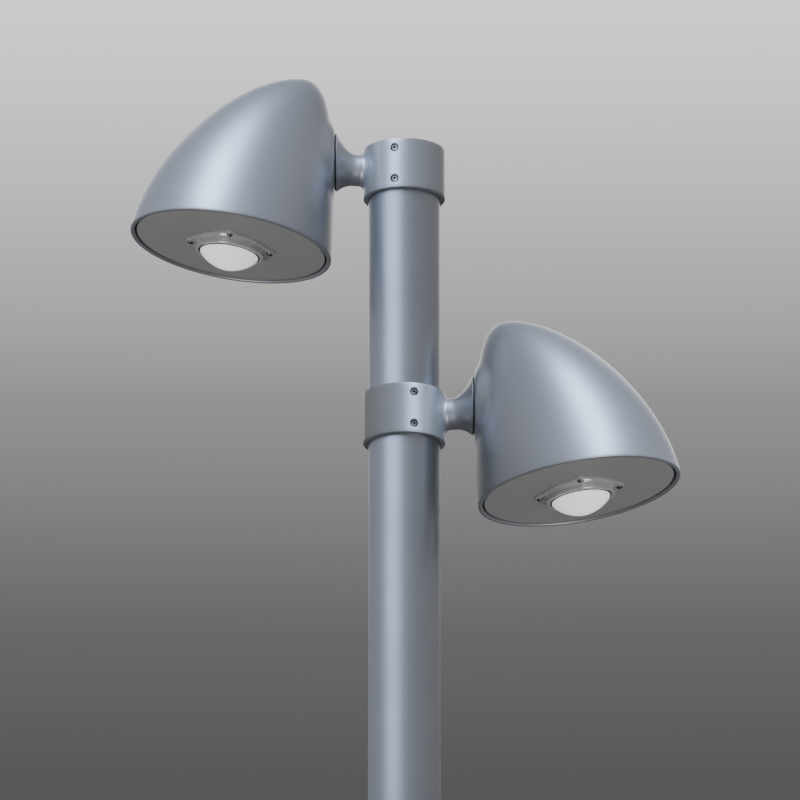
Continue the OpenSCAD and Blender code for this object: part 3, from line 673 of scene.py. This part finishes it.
hub = peg(STUD_R + 0.05 * MM, 14 * MM, (0, 0, 0))
hub.data.transform(to_head @ along_arm(HUB_X - 2 * MM, FLANGE_RISE))
cut(bell, [hub])
IN_R = HEAD_R - HEAD_WALL
ledge = turned("ledge", [
    (IN_R + 1 * MM, 7 * MM), (IN_R - 5.5 * MM, 7 * MM), (IN_R - 6 * MM, 7.5 * MM), (IN_R - 6 * MM, 11 * MM),
    (IN_R + 1 * MM, 12.5 * MM), (IN_R + 1 * MM, 7 * MM)], sides=224)
bpy.ops.object.select_all(action="DESELECT")
ledge.select_set(True)
bell.select_set(True)
bpy.context.view_layer.objects.active = bell
bpy.ops.object.join()

for side in SIDES:
    twin = copy_of(bell, side + "_bell")
    settle(twin, head_place(side), side + "_head", bracket_coat, "head_coat", side + "_head_shell")
bpy.data.objects.remove(bell)


# ---- cover plate ----
# A grey painted aluminium disc recessed in the rim, with a soft edge and a narrow dark gap round it.
# The lens ring covers its middle hole.

PLATE_R, PLATE_HOLE_R, PLATE_T, PLATE_SINK = 101.8 * MM, 28.1 * MM, 3 * MM, 2 * MM


def plate_paint(name):
    """Flat grey paint, faintly cloudy, with a fine dry grain."""
    make = finish(name)
    cloud = make.noise(14, detail=4)
    grain = make.noise(1100, detail=2)
    colour = make.between(cloud * 0.7 + grain * 0.3, (0.238, 0.24, 0.231, 1), (0.288, 0.29, 0.279, 1))
    return make.finished(
        Base_Color=colour, Roughness=make.step(grain, 0.3, 0.7, 0.55, 0.68), Metallic=0.25,
        Normal=make.bump(grain, 0.2, 0.00008))


plate_coat = plate_paint("plate_coat")
face, back = PLATE_SINK, PLATE_SINK + PLATE_T
plate = turned("plate", [
    (PLATE_HOLE_R, face + 0.3 * MM), (PLATE_HOLE_R + 0.3 * MM, face), (PLATE_R * 0.6, face),
    *arc(PLATE_R - 0.8 * MM, face + 0.8 * MM, 0.8 * MM, 270, 360, 5),
    *arc(PLATE_R - 0.4 * MM, back - 0.4 * MM, 0.4 * MM, 0, 90, 3),
    (PLATE_HOLE_R, back), (PLATE_HOLE_R, face + 0.3 * MM)], sides=192)
LENS_SCREW_R, LENS_SCREW_D = 42.6 * MM, 4 * MM
lens_spots = [Matrix.Rotation(math.radians(90 * i), 4, "Z") @ Vector((LENS_SCREW_R, 0, 0)) for i in range(4)]
cut(plate, [peg(LENS_SCREW_D / 2 + 0.1 * MM, PLATE_T * 2, spot + Vector((0, 0, face - 1 * MM)), sides=32)
            for spot in lens_spots])
for side in SIDES:
    twin = copy_of(plate, side + "_plate")
    settle(twin, head_place(side), side + "_head", plate_coat, "plate_coat", side + "_cover_plate")
bpy.data.objects.remove(plate)


# ---- lens ring ----
# A clear moulded ring that clamps the dome: a thin flange with four rounded ears, and a raised collar
# with soft edges. A screw stands in each ear.

RING_IN_R, RING_R, RING_BASE_R, RING_EDGE_R = 32.9 * MM, 37.0 * MM, 37.6 * MM, 39.8 * MM
RING_TOP, EAR_R = -8.8 * MM, 5.2 * MM


def ear_outline(angle):
    """Reach of the flange's edge: a circle with four ears, each joined to it by straight webs."""
    turn = abs((angle + math.pi / 4) % (math.pi / 2) - math.pi / 4)
    web = math.acos((RING_EDGE_R - EAR_R) / LENS_SCREW_R)
    touch = math.atan2(EAR_R * math.sin(web), LENS_SCREW_R + EAR_R * math.cos(web))
    if turn < touch:
        return LENS_SCREW_R * math.cos(turn) + math.sqrt(EAR_R ** 2 - (LENS_SCREW_R * math.sin(turn)) ** 2)
    if turn < web:
        return RING_EDGE_R / math.cos(web - turn)
    return RING_EDGE_R


def clear_plastic(name):
    """Clear acrylic, faintly grey, with a polished face and a little waviness."""
    make = finish(name)
    wave = make.noise(90, detail=2)
    return make.finished(
        Base_Color=make.between(wave, (0.62, 0.62, 0.61, 1), (0.70, 0.70, 0.69, 1)),
        Roughness=make.step(wave, 0.3, 0.7, 0.08, 0.13), Metallic=0.35, IOR=1.49, Transmission_Weight=0.4)


flange_face = PLATE_SINK - 3 * MM
ring = turned("ring", [
    (RING_IN_R, PLATE_SINK - 0.1 * MM), (RING_IN_R, RING_TOP + 0.6 * MM),
    *arc(RING_IN_R + 0.6 * MM, RING_TOP + 0.6 * MM, 0.6 * MM, 180, 270, 4),
    *arc(RING_R - 1.3 * MM, RING_TOP + 1.3 * MM, 1.3 * MM, 270, 360, 6),
    (RING_R + 0.1 * MM, -5.3 * MM), (RING_R - 0.3 * MM, -4.9 * MM), (RING_R + 0.2 * MM, -4.5 * MM),
    *arc(RING_BASE_R + 0.5 * MM, flange_face - 0.5 * MM, 0.5 * MM, 180, 90, 4),
    *arc(RING_EDGE_R - 0.6 * MM, flange_face + 0.6 * MM, 0.6 * MM, 270, 360, 4),
    (RING_EDGE_R, PLATE_SINK - 0.1 * MM), (RING_IN_R, PLATE_SINK - 0.1 * MM)], sides=288)
for point in ring.data.vertices:
    reach = math.hypot(point.co.x, point.co.y)
    inner = RING_BASE_R + 0.55 * MM
    if reach > inner:
        angle = math.atan2(point.co.y, point.co.x)
        wanted = inner + (reach - inner) * (ear_outline(angle) - inner) / (RING_EDGE_R - inner)
        if reach > RING_EDGE_R - 0.65 * MM:
            wanted = ear_outline(angle) + reach - RING_EDGE_R
        point.co.x, point.co.y = wanted * math.cos(angle), wanted * math.sin(angle)
cut(ring, [peg(LENS_SCREW_D / 2 + 0.1 * MM, 8 * MM, spot + Vector((0, 0, -4 * MM)), sides=32)
           for spot in lens_spots])
clear_ring = clear_plastic("clear_ring")
for side in SIDES:
    twin = copy_of(ring, side + "_clear_ring")
    settle(twin, head_place(side), side + "_head", clear_ring, "clear_ring", side + "_lens_ring")
bpy.data.objects.remove(ring)


# ---- lens dome and its sleeve ----
# A frosted dome, fullest in the middle, lit from behind by the lamp. A dark rubber sleeve holds it in
# the ring.

DOME_R, DOME_WALL = 31.2 * MM, 2.5 * MM
DOME_EDGE, DOME_TIP = RING_TOP - 0.4 * MM, -25.3 * MM
DOME_H = DOME_EDGE - DOME_TIP
SLEEVE_T = 1.6 * MM


def dome_profile(radius, depth, steps):
    """Points of the dome's curve from its edge to its tip."""
    rs = [radius * math.cos(math.radians(90 * i / steps)) for i in range(steps + 1)]
    return [(r, DOME_EDGE - depth * max(0, 1 - (r / radius) ** 1.8) ** 0.8) for r in rs]


def frosted(name):
    """Opal plastic that glows softly, lit by the lamp behind it; the glow is painted brighter where the face
    turns downwards, towards the tip, and darker near the ring: painted shading set by the face's direction.
    """
    make = finish(name)
    cloud = make.noise(120, detail=3)
    grain = make.noise(2200, detail=1)
    normal = make.node("ShaderNodeNewGeometry", out="Normal")
    facing = make.node("ShaderNodeSeparateXYZ", sockets={0: normal}, out=2)
    # Painted shading: the glow rises as the face turns downwards, with a random mottle over it.
    glow_with_painted_shading = make.step(facing, 0.15, -0.65) * 0.8 + cloud * 0.3
    return make.finished(
        Base_Color=make.between(cloud, (0.78, 0.78, 0.75, 1), (0.86, 0.86, 0.83, 1)),
        Roughness=make.step(grain, 0.3, 0.7, 0.36, 0.5), Transmission_Weight=0.0, IOR=1.49,
        Emission_Color=make.between(glow_with_painted_shading, (0.50, 0.50, 0.48, 1), (1.0, 1.0, 0.96, 1)), Emission_Strength=0.55,
        Normal=make.bump(grain, 0.15, 0.0001))


frosted_dome = frosted("frosted_dome")
dome = turned("dome", [
    (DOME_R, PLATE_SINK), *dome_profile(DOME_R, DOME_H, 28),
    *reversed(dome_profile(DOME_R - DOME_WALL, DOME_H - DOME_WALL, 20)), (DOME_R - DOME_WALL, PLATE_SINK),
    (DOME_R, PLATE_SINK)], sides=128)
sleeve = turned("sleeve", [
    (DOME_R + 0.05 * MM, PLATE_SINK - 0.1 * MM), (DOME_R + 0.05 * MM, RING_TOP + 0.3 * MM),
    *arc(DOME_R + SLEEVE_T / 2, RING_TOP + 0.1 * MM, 0.6 * MM, 180, 360, 6),
    (DOME_R + SLEEVE_T, RING_TOP + 0.5 * MM), (DOME_R + SLEEVE_T, PLATE_SINK - 0.1 * MM),
    (DOME_R + 0.05 * MM, PLATE_SINK - 0.1 * MM)], sides=128)
for side in SIDES:
    body = side + "_head"
    settle(copy_of(dome, side + "_frosted_dome"), head_place(side), body, frosted_dome, "frosted_dome",
           side + "_lens_dome")
    settle(copy_of(sleeve, side + "_dome_sleeve"), head_place(side), body, rubber, "rubber_seal",
           side + "_dome_seal")
bpy.data.objects.remove(dome)
bpy.data.objects.remove(sleeve)


# ---- lens screws ----
# Four long stainless screws with low round heads go through the ears, the plate and the spacers into the
# heat sink.

HEAD_T, SCREW_HEAD_R = 2.2 * MM, 3.4 * MM
sink_top = 25 * MM
lens_screw = turned("lens_screw", [
    (0, sink_top), (1.4 * MM, sink_top), (1.9 * MM, sink_top - 0.8 * MM), (1.9 * MM, flange_face),
    (SCREW_HEAD_R - 0.2 * MM, flange_face), (SCREW_HEAD_R, flange_face - 0.3 * MM),
    *[(SCREW_HEAD_R * math.cos(math.radians(a)) ** 0.6,
       flange_face - 0.7 * MM - (HEAD_T - 0.7 * MM) * math.sin(math.radians(a)))
      for a in (0, 20, 40, 60, 75)],
    (0, flange_face - HEAD_T)], sides=40)
cut(lens_screw, [peg(1.0 * MM, 2 * MM, (0, 0, flange_face - HEAD_T - 1.5 * MM), sides=6)])
lens_screws = copies("lens_screws", lens_screw, [Matrix.Translation(spot) for spot in lens_spots])
for side in SIDES:
    twin = copy_of(lens_screws, side + "_lens_screw_set")
    settle(twin, head_place(side), side + "_head", stainless, "stainless", side + "_lens_screws")
bpy.data.objects.remove(lens_screws)


# ---- light engine and driver ----
# What the bell hides: spacers, the light source on its board, a finned heat sink, and above it a folded
# sheet with the driver, the wire clamps and the lead. They keep their own shapes.

def lamp_yellow(name):
    """The phosphor over the light source, with the faint grid of the dies under it."""
    make = finish(name)
    grid = make.node("ShaderNodeTexVoronoi", {"feature": "F1", "distance": "CHEBYCHEV"}, {
        "Vector": make.place(), "Scale": 500.0, "Randomness": 0.0})
    return make.finished(
        Base_Color=make.between(make.step(grid, 0.2, 0.5), (0.72, 0.50, 0.07, 1), (0.85, 0.66, 0.16, 1)),
        Roughness=0.35)


inner_finishes = {
    "mill_aluminium": mill_aluminium,
    "stainless": stainless,
    "rubber_seal": rubber,
    "board_white": moulded_plastic("board_white", (0.74, 0.75, 0.74, 1), (0.62, 0.63, 0.60, 1)),
    "led_yellow": lamp_yellow("led_yellow"),
    "driver_white": moulded_plastic("driver_white", (0.70, 0.70, 0.68, 1), (0.60, 0.60, 0.57, 1)),
    "lead_white": moulded_plastic("lead_white", (0.66, 0.66, 0.64, 1), (0.55, 0.55, 0.53, 1)),
}
INNER_PARTS = (
    "lens_spacers", "led_board", "led_chip", "heat_sink", "sink_screws", "driver_bracket", "bracket_screws",
    "driver", "driver_screws", "terminal_block", "led_lead")
slot_of = {row["node"]: row["material_slot"] for row in frame["record"]["subparts"]}
for side in SIDES:
    for part in INNER_PARTS:
        node = side + "_" + part
        carry_over(node, inner_finishes[slot_of[node]])


# ---- which lamp lights what ----
# Each head is lit from its own outer side, so each unit has lamps of its own, and so has the mast.

def shines_on(lamp, things):
    group = bpy.data.collections.new(lamp.name + "_group")
    for thing in things:
        group.objects.link(thing)
    lamp.light_linking.receiver_collection = group


solids = [thing for thing in bpy.context.scene.objects if thing.type == "MESH"]
lower_unit = [thing for thing in solids if thing.name.startswith("lower_")]
upper_unit = [thing for thing in solids if thing.name.startswith("upper_")]
mast = [thing for thing in solids if thing.name.startswith("mast_")] + [floor]
shines_on(key_mast, mast)
for lamp in (key_left, low_left):
    shines_on(lamp, upper_unit)
for lamp in (key_right, low_right):
    shines_on(lamp, lower_unit)
